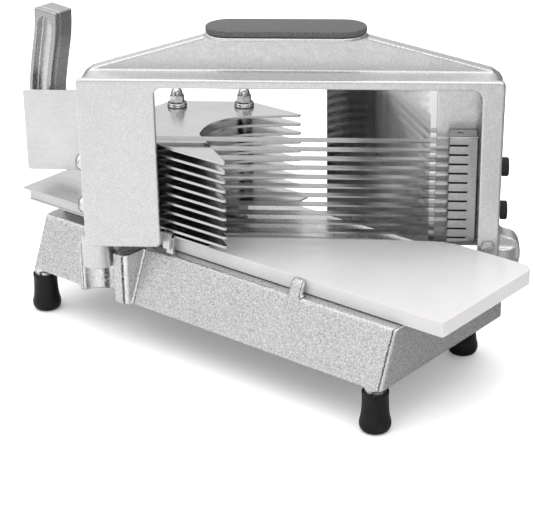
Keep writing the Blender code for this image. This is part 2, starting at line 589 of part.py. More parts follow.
def make_tension_hardware():
    for label, sign in (("lower", -1), ("upper", 1)):
        height = STACK_MIDDLE + sign * TENSION_SPREAD
        name = f"tension_screw_{label}"
        seat = FRAME_RIGHT + GAP
        centre = (TENSION_DEPTH, height)
        top = seat + TENSION_HEAD_LENGTH
        head = rod_mesh(name, (seat, *centre), (top, *centre), TENSION_HEAD_RADIUS, 28)
        screw = part(name, head, BLACK_STEEL, parent=FRAME)
        shank = rod_mesh(f"{name}_shank", (0.2500, *centre), (seat + 0.001, *centre), SCREW_RADIUS, 16)
        ends = ((top - TENSION_SOCKET_DEPTH, *centre), (top + 0.002, *centre))
        socket = rod_mesh(f"{name}_socket", *ends, TENSION_SOCKET_RADIUS, 6)
        join(screw, tool(f"{name}_shank", shank, FRAME))
        cut(screw, tool(f"{name}_socket", socket, FRAME))

        name = f"dome_nut_{label}"
        seat = FRAME_LEFT - GAP
        foot = seat - DOME_NUT_LENGTH
        hexagon = rod_mesh(name, (foot, *centre), (seat, *centre), DOME_NUT_RADIUS, 6)
        nut = part(name, hexagon, CHROME, parent=FRAME)
        shank = rod_mesh(f"{name}_stud", (seat - 0.001, *centre), (0.0160, *centre), SCREW_RADIUS, 16)
        dome = turned_mesh(f"{name}_dome", dome_profile(DOME_RADIUS, DOME_HEIGHT), 20)
        dome.transform(Matrix.Translation((foot + 0.0002, *centre)) @ Matrix.Rotation(-pi / 2, 4, "Y"))
        join(nut, tool(f"{name}_stud", shank, FRAME), tool(f"{name}_dome", dome, FRAME))


def dome_profile(radius, height):
    """A domed cap whose flat foot is at height 0."""
    curve = [(radius * cos(pi / 2 * i / 6), height * sin(pi / 2 * i / 6)) for i in range(6)]
    return [(0.0, height)] + list(reversed(curve)) + [(0.0, 0.0)]


# ---- rear guard ---------------------------------------------------------------------------------------
def make_rear_guard():
    """A polished sheet behind the pusher; its tab is screwed to the back of the frame's plate."""
    tab_front = BACK_PLATE_BACK + GAP
    tab_back = tab_front + GUARD_SHEET
    # the panel meets the tab where both sheet faces cross
    front_bend = to_line(GUARD_SHEET_Y, tab_front)
    back_bend = to_line(GUARD_SHEET_Y + GUARD_SHEET, tab_back)
    outline = [
        (GUARD_SHEET_LEFT, GUARD_SHEET_Y), front_bend,
        from_frame(GUARD_TAB_END, tab_front), from_frame(GUARD_TAB_END, tab_back),
        back_bend, (GUARD_SHEET_LEFT, GUARD_SHEET_Y + GUARD_SHEET),
    ]
    sheet = plate_mesh("rear_guard", outline, GUARD_SHEET_BOTTOM, GUARD_SHEET_TOP)
    guard = part("rear_guard", sheet, MIRROR_STEEL, parent=BASE)
    for label, height in GUARD_SCREW_HEIGHTS.items():
        hole = f"guard_tab_hole_{label}"
        ends = ((GUARD_SCREW_ALONG, GUARD_SCREW_SEAT, height), (GUARD_SCREW_ALONG, 0.035, height))
        cut(guard, tool(hole, rod_mesh(hole, *ends, GUARD_SCREW_HOLE, 16), FRAME))
        name = f"guard_screw_{label}"
        seat = tab_back + GAP
        radius, tip_radius, thickness = GUARD_SCREW_HEAD
        ends = ((GUARD_SCREW_ALONG, seat, height), (GUARD_SCREW_ALONG, seat + thickness, height))
        screw = part(name, rod_mesh(name, *ends, radius, 20, tip_radius), STEEL, parent=FRAME)
        ends = ((GUARD_SCREW_ALONG, seat + 0.001, height), (GUARD_SCREW_ALONG, GUARD_SCREW_TIP, height))
        shank = rod_mesh(f"{name}_shank", *ends, GUARD_SCREW_RADIUS, 16)
        join(screw, tool(shank.name, shank, FRAME))


def to_line(y, behind):
    """Where the line of constant y meets the plane a given distance behind the frame's front face."""
    along = (y - FRAME_ORIGIN.y - behind * cos(FRAME_ANGLE)) / sin(FRAME_ANGLE)
    return from_frame(along, behind)


# ---- pusher -------------------------------------------------------------------------------------------
def through_three(first, middle, last, steps):
    """Points on a parabola-like arc through three points."""
    first, middle, last = Vector(first), Vector(middle), Vector(last)
    control = 2 * middle - (first + last) / 2
    points = []
    for i in range(steps + 1):
        t = i / steps
        points.append(tuple((1 - t) ** 2 * first + 2 * t * (1 - t) * control + t * t * last))
    return points


def fin_outline(front, back, right_limit=1.0):
    """The fin seen from above: two prongs round a pocket, and a back corner cut parallel to the blades."""
    chamfer = HAND_GUARD_DEPTH - 0.0006
    left_end = to_column(FIN_LEFT + 0.0002, chamfer)
    prong = min(FRONT_PRONG[0], right_limit)
    pocket = through_three(POCKET_FRONT, POCKET_MIDDLE, POCKET_REAR, 10)
    slope = (POCKET_FRONT[1] - FRONT_PRONG[1]) / (POCKET_FRONT[0] - FRONT_PRONG[0])
    inner = FRONT_PRONG[1] + slope * (prong - FRONT_PRONG[0])
    return (
        [(FIN_LEFT, front), (prong - 0.0010, front), (prong, front + 0.0010), (prong, inner)]
        + pocket
        + [REAR_PRONG, (REAR_PRONG[0], back), to_line(back, chamfer), left_end]
    )


def to_column(x, behind):
    """Where the line of constant x meets the plane a given distance behind the frame's front face."""
    along = (x - FRAME_ORIGIN.x + behind * sin(FRAME_ANGLE)) / cos(FRAME_ANGLE)
    return from_frame(along, behind)


def moved(mesh):
    """A mesh in world places, moved to the pusher's own origin."""
    mesh.transform(Matrix.Translation((-FIN_LEFT, 0.0, -SLIDE_TOP)))
    return mesh


def make_fins():
    for k in range(FIN_COUNT):
        name = f"pusher_fin_{k + 1:02d}"
        low = FIRST_FIN + k * BLADE_PITCH - FIN_THICKNESS / 2
        high = low + FIN_THICKNESS
        collar_bottom = SLIDE_TOP + GAP if k == 0 else low - (BLADE_PITCH - FIN_THICKNESS) + GAP
        plate = plate_mesh(name, fin_outline(FIN_FRONT, FIN_BACK), low, high)
        fin = part(name, moved(plate), STEEL, parent=PUSHER)
        for stud, (x, y) in STUDS.items():
            collar = f"{name}_{stud}_collar"
            hole = f"{name}_{stud}_hole"
            ring = rod_mesh(collar, (x, y, collar_bottom), (x, y, high - 0.0005), COLLAR_RADIUS, 18)
            ends = ((x, y, collar_bottom - 0.002), (x, y, high + 0.002))
            bore = rod_mesh(hole, *ends, STUD_RADIUS + GAP, 14)
            join(fin, tool(collar, moved(ring), PUSHER))
            cut(fin, tool(hole, moved(bore), PUSHER))


def make_studs():
    stack_top = FIRST_FIN + (FIN_COUNT - 1) * BLADE_PITCH + FIN_THICKNESS / 2
    washer_top = stack_top + GAP + 0.0026
    nut_bottom = washer_top + GAP
    for side, (x, y) in STUDS.items():
        name = f"pusher_stud_{side}"
        head = moved(rod_mesh(name, (x, y, 0.0741), (x, y, SLIDE_TOP - SLIDE_SHEET - GAP), 0.0045, 20))
        stud = part(name, head, STEEL, parent=PUSHER)
        shank = rod_mesh(f"{name}_shank", (x, y, 0.0748), (x, y, nut_bottom + 0.0050), STUD_RADIUS, 16)
        join(stud, tool(f"{name}_shank", moved(shank), PUSHER))

        name = f"stud_washer_{side}"
        ring = moved(rod_mesh(name, (x, y, stack_top + GAP), (x, y, washer_top), 0.0068, 28))
        washer = part(name, ring, CHROME, parent=PUSHER)
        bore = rod_mesh(f"{name}_bore", (x, y, stack_top - 0.001), (x, y, washer_top + 0.001), 0.0028, 16)
        cut(washer, tool(f"{name}_bore", moved(bore), PUSHER))

        name = f"acorn_nut_{side}"
        hexagon = moved(rod_mesh(name, (x, y, nut_bottom), (x, y, nut_bottom + 0.0050), 0.0060, 6))
        nut = part(name, hexagon, CHROME, parent=PUSHER)
        dome = turned_mesh(f"{name}_dome", dome_profile(0.0047, 0.0058), 20)
        dome.transform(Matrix.Translation((x, y, nut_bottom + 0.0048)))
        bore = rod_mesh(f"{name}_bore", (x, y, nut_bottom - 0.001), (x, y, nut_bottom + 0.0054), 0.0028, 16)
        join(nut, tool(f"{name}_dome", moved(dome), PUSHER))
        cut(nut, tool(f"{name}_bore", moved(bore), PUSHER))


def make_slide_plate():
    pocket = fin_outline(SLIDE_FRONT, SLIDE_BACK, SLIDE_RIGHT)[1:-2]
    rear = [(SLIDE_LEFT, SLIDE_BACK), (SLIDE_LEFT, SLIDE_FRONT)]
    outline = pocket + rear
    sheet = plate_mesh("slide_plate", outline, SLIDE_TOP - SLIDE_SHEET, SLIDE_TOP)
    slide = part("slide_plate", moved(sheet), STEEL, parent=PUSHER)
    for name, (low, high) in {
        "front": (FLANGE_FRONT, FLANGE_FRONT + FLANGE_SHEET),
        "rear": (FLANGE_BACK - FLANGE_SHEET, FLANGE_BACK),
    }.items():
        ends = ((FLANGE_LEFT, low, FLANGE_BOTTOM), (FLANGE_RIGHT, high, SLIDE_TOP - 0.0004))
        web = tool(f"slide_flange_{name}", moved(block_mesh(f"slide_flange_{name}", *ends)), PUSHER)
        foot_y = (low - 0.001, high) if name == "front" else (high - 0.005, high)
        hem = block_mesh(
            f"slide_hem_{name}", (FLANGE_LEFT, foot_y[0], FLANGE_BOTTOM),
            (FLANGE_RIGHT, foot_y[1], FLANGE_BOTTOM + FLANGE_SHEET),
        )
        join(slide, web, tool(f"slide_hem_{name}", moved(hem), PUSHER))
    places = list(STUDS.values()) + [FOOT_BOLT]
    for i, (x, y) in enumerate(places):
        bore = rod_mesh(f"slide_hole_{i}", (x, y, 0.07), (x, y, 0.08), STUD_RADIUS + GAP, 16)
        cut(slide, tool(f"slide_hole_{i}", moved(bore), PUSHER))


def make_hand_guard():
    left, right, bottom, top = HAND_GUARD
    holder = empty("hand_guard_origin", on_pusher(*FRAME_ORIGIN), FRAME_ANGLE)
    holder.parent = PUSHER
    corners = ((left, bottom), (left, top), (right, top), (right, bottom))
    outline = rounded([(*place, 0.0020) for place in corners], 3)
    sheet = plate_mesh("hand_guard", outline, HAND_GUARD_DEPTH, GUARD_BACK, True)
    guard = part("hand_guard", sheet, STEEL, parent=holder)
    handle = make_handle(holder)
    seat = GUARD_BACK + GAP + LUG_THICKNESS
    for name, height in GUARD_STUD_HEIGHTS.items():
        def along_stud(label, start, end, radius, segments=16):
            ends = ((GUARD_STUD_ALONG, start, height), (GUARD_STUD_ALONG, end, height))
            return rod_mesh(f"guard_{label}_{name}", *ends, radius, segments)

        stud = along_stud("stud", GUARD_BACK - 0.0010, GUARD_BACK + 0.0135, GUARD_STUD_RADIUS)
        bore = along_stud("lug_bore", GUARD_BACK - 0.0010, GUARD_BACK + 0.0400, GUARD_STUD_HOLE)
        join(guard, tool(stud.name, stud, holder))
        cut(handle, tool(bore.name, bore, holder))
        hexagon = along_stud("nut", seat, seat + GUARD_NUT_HEIGHT, GUARD_NUT_RADIUS, 6)
        bore = along_stud("nut_bore", seat - 0.0010, seat + GUARD_NUT_HEIGHT + 0.0010, GUARD_STUD_HOLE)
        nut = part(f"guard_nut_{name}", hexagon, STEEL, parent=holder)
        cut(nut, tool(bore.name, bore, holder))


def smooth_line(points, steps):
    """A smooth line through (x, z) points."""
    points = [Vector((x, z, 0.0)) for x, z in points]
    last = len(points) - 1
    tangents = [(points[min(i + 1, last)] - points[max(i - 1, 0)]) / 6 for i in range(last + 1)]
    line = points[:1]
    for i in range(last):
        leave, arrive = points[i] + tangents[i], points[i + 1] - tangents[i + 1]
        line += interpolate_bezier(points[i], leave, arrive, points[i + 1], steps)[1:]
    return line


def bar_outline(spine, width, round_top=False):
    """The outline of a bar of constant width along a smooth upright spine."""
    line = smooth_line(spine, 4)
    right, left = [], []
    for i, here in enumerate(line):
        ahead = line[min(i + 1, len(line) - 1)] - line[max(i - 1, 0)]
        across = Vector((ahead.y, -ahead.x, 0.0)).normalized() * (width / 2)
        right.append(tuple((here + across).xy))
        left.append(tuple((here - across).xy))
    top = atan2(ahead.y, ahead.x)
    cap = arc(line[-1].xy, width / 2, top - pi / 2, top + pi / 2, 8)[1:-1] if round_top else []
    return right + cap + left[::-1]


def make_handle(holder):
    """The handle, ending behind the hand guard in a lug that steps down onto the slide plate."""
    front, back = HANDLE_Y - HANDLE_DEPTH / 2, HANDLE_Y + HANDLE_DEPTH / 2
    body = plate_mesh("pusher_handle", bar_outline(HANDLE_SPINE, HANDLE_WIDTH), front, back, True)
    handle = part("pusher_handle", moved(body), CAST, parent=PUSHER)
    soft = handle.modifiers.new("soft_edge", "BEVEL")
    soft.width = 0.0018
    soft.segments = 2
    soft.limit_method = "ANGLE"
    soft.angle_limit = radians(60)
    x, reach = HANDLE_SPINE[0][0], 0.03
    low, high = (x - reach, HANDLE_Y - reach, 0.06), (x + reach, HANDLE_Y + reach, HANDLE_BOTTOM)
    cut(handle, tool("handle_trim", moved(block_mesh("handle_trim", low, high)), PUSHER))

    foot_bottom = SLIDE_TOP + GAP
    outline = rounded([
        (LUG_SPAN[0], LUG_BOTTOM, 0.0020), (FOOT_SPAN[0], LUG_BOTTOM, 0.0020),
        (FOOT_SPAN[0], foot_bottom, 0.0010), (FOOT_SPAN[1], foot_bottom, 0.0010),
        (FOOT_SPAN[1], FOOT_TOP, 0.0030), (LUG_SPAN[1], FOOT_TOP, 0.0020),
        (LUG_SPAN[1], LUG_TOP, 0.0030), (LUG_SPAN[0], LUG_TOP, 0.0030),
    ], 3)
    seat = GUARD_BACK + GAP
    lug = plate_mesh("handle_lug", outline, seat, seat + LUG_THICKNESS, True)
    join(handle, tool("handle_lug", lug, holder))
    left, right, bottom, top = HAND_GUARD
    low, high = (left - 0.01, seat - 0.02, bottom - 0.003), (right, seat, top + 0.002)
    relief = block_mesh("guard_relief", low, high)
    channel_spine = [(x, z) for x, z in HANDLE_SPINE if CHANNEL_BOTTOM <= z < CHANNEL_END[1]] + [CHANNEL_END]
    channel_outline = bar_outline(channel_spine, CHANNEL_WIDTH, round_top=True)
    channel = plate_mesh("handle_channel", channel_outline, front - 0.0010, front + CHANNEL_DEPTH, True)
    bore = rod_mesh("handle_bore", (*FOOT_BOLT, 0.07), (*FOOT_BOLT, 0.0960), STUD_RADIUS + GAP, 16)
    cut(
        handle, tool("guard_relief", relief, holder), tool("handle_channel", moved(channel), PUSHER),
        tool("handle_bore", moved(bore), PUSHER),
    )

    name = "handle_bolt"
    head = rod_mesh(name, (*FOOT_BOLT, 0.0718), (*FOOT_BOLT, SLIDE_TOP - SLIDE_SHEET - GAP), 0.0046, 6)
    bolt = part(name, moved(head), STEEL, parent=PUSHER)
    shank = rod_mesh(f"{name}_shank", (*FOOT_BOLT, 0.0740), (*FOOT_BOLT, 0.0940), STUD_RADIUS, 16)
    join(bolt, tool(f"{name}_shank", moved(shank), PUSHER))
    return handle


# ---- guides, runners, board and bolts -----------------------------------------------------------------
def make_guides():
    """Clips on the deck's edges: one arm holds the slide plate's edge down and one carries it."""
    plate_top, plate_bottom = SLIDE_TOP + GAP + 0.0001, SLIDE_TOP - SLIDE_SHEET - GAP
    clips = {
        "front_guide_clip": (-0.0362, -0.0305, {
            "wall": (-0.0548, -0.0524, 0.0680, CLIP_TOP),
            "upper_arm": (-0.0540, -0.0496, plate_top, CLIP_TOP - 0.0001),
            "lower_arm": (-0.0540, -0.0496, 0.0739, plate_bottom),
            "foot": (-0.0516, -0.0498, DECK + GAP, plate_bottom - 0.0002),
        }),
        "rear_guide_clip": (-0.1000, -0.0940, {
            "wall": (0.0582, 0.0606, DECK + GAP, CLIP_TOP),
            "upper_arm": (0.0548, 0.0600, plate_top, CLIP_TOP - 0.0001),
            "lower_arm": (0.0548, 0.0600, 0.0732, plate_bottom),
        }),
    }
    for name, (left, right, blocks) in clips.items():
        meshes = {
            label: block_mesh(f"{name}_{label}", (left, front, low), (right, back, high))
            for label, (front, back, low, high) in blocks.items()
        }
        clip = part(name, meshes.pop("wall"), STEEL, parent=BASE)
        join(clip, *(tool(mesh.name, mesh, BASE) for mesh in meshes.values()))


def make_runners():
    for name, (left, right, front, back) in {
        "front_runner": (-0.1460, -0.0620, -0.0400, -0.0300),
        "rear_runner": (-0.1460, -0.0350, 0.0220, 0.0320),
    }.items():
        low = (left, front, DECK + GAP)
        high = (right, back, SLIDE_TOP - SLIDE_SHEET - GAP)
        part(name, block_mesh(name, low, high, 0.0008, 1), WHITE_PLASTIC, parent=BASE)


def make_board():
    left, bend = BOARD_DIAGONAL
    outline = rounded([
        (left, BOARD_FRONT, 0.0), (BOARD_RIGHT, BOARD_FRONT, 0.0015), (BOARD_RIGHT, BOARD_BACK, BOARD_CORNER),
        (bend, BOARD_BACK, 0.0030),
    ], 6)
    board = plate_mesh("cutting_board", outline, BOARD_BOTTOM, BOARD_TOP)
    board.transform(Matrix.Translation((-BOARD_RIGHT, 0.0, -BOARD_TOP)))
    made = part("cutting_board", board, WHITE_PLASTIC, parent=BOARD)
    soft = made.modifiers.new("eased_edge", "BEVEL")
    soft.width = 0.0006
    soft.segments = 1
    soft.limit_method = "ANGLE"
    soft.angle_limit = radians(60)


def make_frame_bolts():
    inner_wall = BASE_HALF_WIDTH - WALL
    for side, seat, tip in (("left", PILASTER_BACK + GAP, -0.0705), ("right", inner_wall - GAP, 0.0780)):
        name, x, height = f"frame_bolt_{side}", FRAME_BOLT_X[side], FRAME_BOLT_HEIGHT
        away = 1.0 if tip < seat else -1.0
        head = rod_mesh(name, (x, seat, height), (x, seat + away * 0.0045, height), 0.0042, 24)
        bolt = part(name, head, STEEL, parent=BASE)
        ends = ((x, seat + away * 0.001, height), (x, tip, height))
        shank = rod_mesh(f"{name}_shank", *ends, SCREW_RADIUS, 16)
        join(bolt, tool(f"{name}_shank", shank, BASE))
    along, height = FOOT_SCREW
    name = "column_foot_screw"
    head = rod_mesh(name, (along, -GAP, height), (along, -GAP - 0.0032, height), 0.0046, 6)
    screw = part(name, head, STEEL, parent=FRAME)
    shank = rod_mesh(f"{name}_shank", (along, -0.001, height), (along, 0.0120, height), SCREW_RADIUS, 16)
    join(screw, tool(f"{name}_shank", shank, FRAME))


make_base()
make_feet()
make_frame()
make_grip()
make_holder("left", LEFT_HOLDER, (0.0150, 0.0290), LEFT_ROD, (0.0050, 0.0170))
make_holder("right", RIGHT_HOLDER, (0.2330, 0.2473), RIGHT_ROD, (0.2480, 0.2600))
make_blades()
make_tension_hardware()
make_rear_guard()
make_fins()
make_studs()
make_slide_plate()
make_hand_guard()
make_guides()
make_runners()
make_board()
make_frame_bolts()
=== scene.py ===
import json
from math import atan2, cos, hypot, pi, radians, sin

import bmesh
import bpy
from mathutils import Matrix, Vector


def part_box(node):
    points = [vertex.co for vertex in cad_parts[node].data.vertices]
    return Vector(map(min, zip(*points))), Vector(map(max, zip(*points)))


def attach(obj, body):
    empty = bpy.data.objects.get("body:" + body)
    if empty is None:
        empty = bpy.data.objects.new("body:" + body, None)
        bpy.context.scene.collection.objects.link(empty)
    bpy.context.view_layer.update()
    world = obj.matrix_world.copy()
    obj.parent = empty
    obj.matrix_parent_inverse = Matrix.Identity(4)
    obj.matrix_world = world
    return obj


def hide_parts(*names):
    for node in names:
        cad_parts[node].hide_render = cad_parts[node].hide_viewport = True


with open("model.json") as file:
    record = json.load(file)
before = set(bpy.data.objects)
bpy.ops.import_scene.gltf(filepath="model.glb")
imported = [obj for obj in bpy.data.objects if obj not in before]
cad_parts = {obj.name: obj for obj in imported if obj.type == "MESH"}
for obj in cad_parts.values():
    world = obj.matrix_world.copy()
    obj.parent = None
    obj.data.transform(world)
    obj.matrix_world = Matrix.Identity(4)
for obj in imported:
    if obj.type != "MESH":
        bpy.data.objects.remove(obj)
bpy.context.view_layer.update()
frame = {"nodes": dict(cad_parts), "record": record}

MM = 0.001

# ---- who rides where ---------------------------------------------------------------------------------
BODY_OF = {n: body for body, nodes in frame["record"]["behaviour"]["bodies"].items() for n in nodes}


def nodes_named(start):
    return sorted(n for n in frame["nodes"] if n.startswith(start))


def place(piece, node):
    """The piece stands for the node: it rides on the node's body."""
    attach(piece, BODY_OF[node])
    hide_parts(node)


# ---- materials ---------------------------------------------------------------------------------------
class Shader:
    """A Principled material and the few node shapes that its patterns need, in the object's own metres."""

    def __init__(self, name):
        self.material = bpy.data.materials.new(name)
        self.material.use_nodes = True
        self.tree = self.material.node_tree
        self.surface = self.tree.nodes["Principled BSDF"]
        self.place = self.tree.nodes.new("ShaderNodeTexCoord").outputs["Object"]

    def node(self, kind, settings=None, **inputs):
        made = self.tree.nodes.new(kind)
        for name, value in (settings or {}).items():
            setattr(made, name, value)
        for name, value in inputs.items():
            self.feed(made.inputs[name.replace("_", " ")], value)
        return made

    def feed(self, socket, value):
        if isinstance(value, bpy.types.NodeSocket):
            self.tree.links.new(value, socket)
        else:
            socket.default_value = value

    def stretched(self, scale, turn=0.0):
        made = self.node("ShaderNodeMapping", Vector=self.place, Rotation=(0.0, 0.0, turn), Scale=scale)
        return made.outputs["Vector"]

    def noise(self, scale, detail=2.0, rough=0.5, place=None):
        where = place or self.place
        made = self.node("ShaderNodeTexNoise", Vector=where, Scale=scale, Detail=detail, Roughness=rough)
        return made.outputs["Fac"]

    def between(self, value, low, high, from_low=0.3, from_high=0.7):
        """The value carried from one range to another. The default range is that of a noise."""
        made = self.node("ShaderNodeMapRange", Value=value)
        for i, number in enumerate((from_low, from_high, low, high)):
            made.inputs[i + 1].default_value = number
        return made.outputs["Result"]

    def band(self, value, height, rise, fall):
        """The height where the value is past the rise and before the fall, and nothing outside them."""
        up = self.between(value, 0.0, height, *rise)
        down = self.between(value, 1.0, 0.0, *fall)
        return self.math("MULTIPLY", up, down)

    def math(self, operation, first, second):
        made = self.node("ShaderNodeMath", {"operation": operation})
        self.feed(made.inputs[0], first)
        self.feed(made.inputs[1], second)
        return made.outputs["Value"]

    def grey(self, value):
        return self.node("ShaderNodeCombineColor", Red=value, Green=value, Blue=value).outputs["Color"]

    def bump(self, height, depth, strength=1.0, under=None):
        made = self.node("ShaderNodeBump", Height=height, Distance=depth, Strength=strength)
        if under is not None:
            self.feed(made.inputs["Normal"], under)
        return made.outputs["Normal"]

    def finish(self, **inputs):
        for name, value in inputs.items():
            self.feed(self.surface.inputs[name.replace("_", " ")], value)
        return self.material


# what a casting's bends and corners add to its tone, as painted shade and painted highlights: the amount,
# then the range of the bend or the turn
# painted shade: creases darkened where shade would fall
CREASE_SHADE_TONE, CREASE_SHADE = -0.30, (0.38, 0.46)
# painted highlight: convex edges lightened as if catching the light
RIM_HIGHLIGHT_TONE, RIM_HIGHLIGHT = 0.12, (0.52, 0.56)
# painted reflection on the rounded front-right corner: a painted dark line, then a painted highlight
PAINTED_DARK_LINE_TONE, PAINTED_DARK_LINE = -0.50, ((0.14, 0.26), (0.42, 0.52))
PAINTED_BRIGHT_LINE_TONE, PAINTED_BRIGHT_LINE = 0.27, ((0.54, 0.64), (0.92, 0.97))


def corner_painted_light(s, value):
    """On rounded corners that turn from the front to the right: a painted dark reflection line, then a
    painted highlight.
    """
    normal = s.node("ShaderNodeNewGeometry").outputs["Normal"]
    turn = s.node("ShaderNodeSeparateXYZ", Vector=normal).outputs["X"]
    painted_dark = s.band(turn, PAINTED_DARK_LINE_TONE, *PAINTED_DARK_LINE)
    painted_bright = s.band(turn, PAINTED_BRIGHT_LINE_TONE, *PAINTED_BRIGHT_LINE)
    return s.math("ADD", value, s.math("ADD", painted_dark, painted_bright))


def cast_metal(name, tone, pebble, depth, grain, rough=0.30, painted_corner=False):
    """Sand-cast aluminium: pebbles of the given size, finer sand, painted shade in creases and painted
    highlights on edges.
    """
    s = Shader(name)
    pebbles = s.noise(1.0 / pebble, 1.0, 0.5)
    sand = s.noise(3.0 / pebble, 2.0, 0.6)
    stain = s.noise(30.0, 2.0, 0.5)
    bend = s.node("ShaderNodeNewGeometry").outputs["Pointiness"]
    value = s.math("ADD", s.between(stain, tone - 0.008, tone + 0.008), s.between(pebbles, -grain, grain))
    value = s.math("ADD", value, s.between(sand, -0.9 * grain, 0.9 * grain))
    # painted shade in the creases
    value = s.math("ADD", value, s.between(bend, CREASE_SHADE_TONE, 0.0, *CREASE_SHADE))
    # painted highlight on convex edges
    value = s.math("ADD", value, s.between(bend, 0.0, RIM_HIGHLIGHT_TONE, *RIM_HIGHLIGHT))
    # painted reflection and highlight along the rounded corner
    if painted_corner:
        value = corner_painted_light(s, value)
    normal = s.bump(pebbles, depth, 1.0, s.bump(sand, 0.30 * depth, 0.8))
    roughness = s.between(s.noise(260.0, 2.0), rough - 0.05, rough + 0.07)
    s.finish(Base_Color=s.grey(value), Metallic=0.95, Roughness=roughness, Normal=normal)
    return s


def brushed_steel(name, tone, along, rough, streak=1.0):
    """Stainless steel with fine brush lines along one direction, an angle in the X-Y plane."""
    s = Shader(name)
    lines = s.noise(1.0, 3.0, 0.65, s.stretched((60.0, 5200.0, 5200.0), -along))
    broad = s.noise(1.0, 2.0, 0.5, s.stretched((12.0, 420.0, 420.0), -along))
    cloud = s.noise(30.0, 2.0)
    value = s.math("ADD", s.between(cloud, tone - 0.03, tone + 0.03), s.between(broad, -0.03, 0.03))
    value = s.math("ADD", value, s.between(lines, -0.05 * streak, 0.05 * streak))
    roughness = s.between(lines, rough - 0.05, rough + 0.09)
    return s.finish(
        Base_Color=s.grey(value), Metallic=1.0, Roughness=roughness, Anisotropic=0.35,
        Normal=s.bump(lines, 0.012 * MM * streak, 0.5),
    )


def polished_steel(name, tone, rough):
    """Mirror-bright sheet with faint upright smears and a slight waviness."""
    s = Shader(name)
    smear = s.noise(1.0, 3.0, 0.6, s.stretched((140.0, 140.0, 9.0)))
    cloud = s.noise(14.0, 2.0)
    roughness = s.math("ADD", s.between(smear, rough - 0.02, rough + 0.05), s.between(cloud, 0.0, 0.04))
    return s.finish(
        Base_Color=s.grey(s.between(smear, tone - 0.03, tone + 0.02)), Metallic=1.0, Roughness=roughness,
        Normal=s.bump(cloud, 0.30 * MM, 0.25),
    )


def chrome(name):
    """Bright plating with painted reflections: nearly white where it faces the eye and dark where it turns
    away.
    """
    s = Shader(name)
    facing = s.node("ShaderNodeLayerWeight", Blend=0.5).outputs["Facing"]
    cloud = s.noise(400.0, 2.0)
    # painted reflection: the tone follows the view angle
    value = s.math("ADD", s.between(facing, 0.78, 0.08, 0.22, 0.66), s.between(cloud, -0.04, 0.04))
    return s.finish(
        Base_Color=s.grey(value), Metallic=1.0, Roughness=s.between(cloud, 0.03, 0.08),
        Normal=s.bump(cloud, 0.02 * MM, 0.5),
    )


def rubber(name):
    """Black rubber, scuffed unevenly."""
    s = Shader(name)
    skin = s.noise(1500.0, 3.0, 0.6)
    scuff = s.noise(160.0, 3.0, 0.6)
    return s.finish(
        Base_Color=s.grey(s.between(scuff, 0.003, 0.010)), Roughness=s.between(scuff, 0.30, 0.46),
        Specular_IOR_Level=0.24,
        Normal=s.bump(skin, 0.05 * MM, 0.5),
    )


def pad_plastic(name):
    """Dark grey plastic with a leathery grain."""
    s = Shader(name)
    grain = s.noise(1300.0, 3.0, 0.65)
    fleck = s.noise(700.0, 2.0, 0.6)
    return s.finish(
        Base_Color=s.grey(s.between(fleck, 0.055, 0.105)), Roughness=0.62,
        Normal=s.bump(grain, 0.14 * MM, 0.7),
    )


def white_plastic(name):
    """Polyethylene: waxy white, faint clouds and shallow knife lines."""
    s = Shader(name)
    cloud = s.noise(26.0, 3.0, 0.6)
    scored = s.noise(1.0, 2.0, 0.5, s.stretched((30.0, 500.0, 30.0), radians(14)))
    fine = s.noise(900.0, 2.0, 0.5)
    return s.finish(
        Base_Color=s.grey(s.between(cloud, 0.56, 0.60)), Roughness=s.between(scored, 0.22, 0.26),
        Subsurface_Weight=0.25, Subsurface_Scale=0.004, Coat_Weight=0.15, Coat_Roughness=0.12,
        Normal=s.bump(scored, 0.008 * MM, 0.2, s.bump(fine, 0.015 * MM, 0.4)),
    )


def black_metal(name):
    """Blackened steel with a little dust."""
    s = Shader(name)
    dust = s.noise(900.0, 3.0, 0.6)
    return s.finish(
        Base_Color=s.grey(s.between(dust, 0.012, 0.04)), Metallic=0.7, Roughness=s.between(dust, 0.30, 0.45),
        Normal=s.bump(dust, 0.03 * MM, 0.5),
    )


# ---- mesh helpers ------------------------------------------------------------------------------------
def upright(node):
    """Axes with the node's middle as their centre, at floor height."""
    low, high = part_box(node)
    return Matrix.Translation(((low.x + high.x) / 2, (low.y + high.y) / 2, 0.0))


def longest_edge_angle(node):
    """The direction in the X-Y plane of a long straight piece."""
    mesh = frame["nodes"][node].data
    points = [v.co for v in mesh.vertices]
    best = max((points[e.vertices[1]] - points[e.vertices[0]] for e in mesh.edges), key=lambda d: d.xy.length)
    return atan2(best.y, best.x) if best.x > 0 else atan2(-best.y, -best.x)


FRAME_TURN = longest_edge_angle("blade_06")
FRAME_AXES = Matrix.Rotation(FRAME_TURN, 4, "Z")


def frame_box(node):
    """The node's lowest and highest corners in axes turned to the blade frame: along it, behind it, up."""
    points = [FRAME_AXES.inverted() @ v.co for v in frame["nodes"][node].data.vertices]
    low = Vector([min(p[k] for p in points) for k in range(3)])
    high = Vector([max(p[k] for p in points) for k in range(3)])
    return low, high


def new_piece(name, bm, finish, sharp=35.0):
    """An object from a bmesh, smooth except at edges that turn by more than the sharp angle in degrees."""
    bmesh.ops.recalc_face_normals(bm, faces=bm.faces)
    mesh = bpy.data.meshes.new(name)
    bm.to_mesh(mesh)
    bm.free()
    mesh.shade_smooth()
    mesh.set_sharp_from_angle(angle=radians(sharp))
    mesh.materials.append(finish)
    made = bpy.data.objects.new(name, mesh)
    bpy.context.scene.collection.objects.link(made)
    return made


WELD = 0.002 * MM        # vertices closer than this are one
FLAT = radians(0.6)      # faces that meet at less than this are one


def welded(node):
    """The node's solid as a bmesh without double vertices."""
    bm = bmesh.new()
    bm.from_mesh(frame["nodes"][node].data)
    bmesh.ops.remove_doubles(bm, verts=bm.verts, dist=WELD)
    return bm


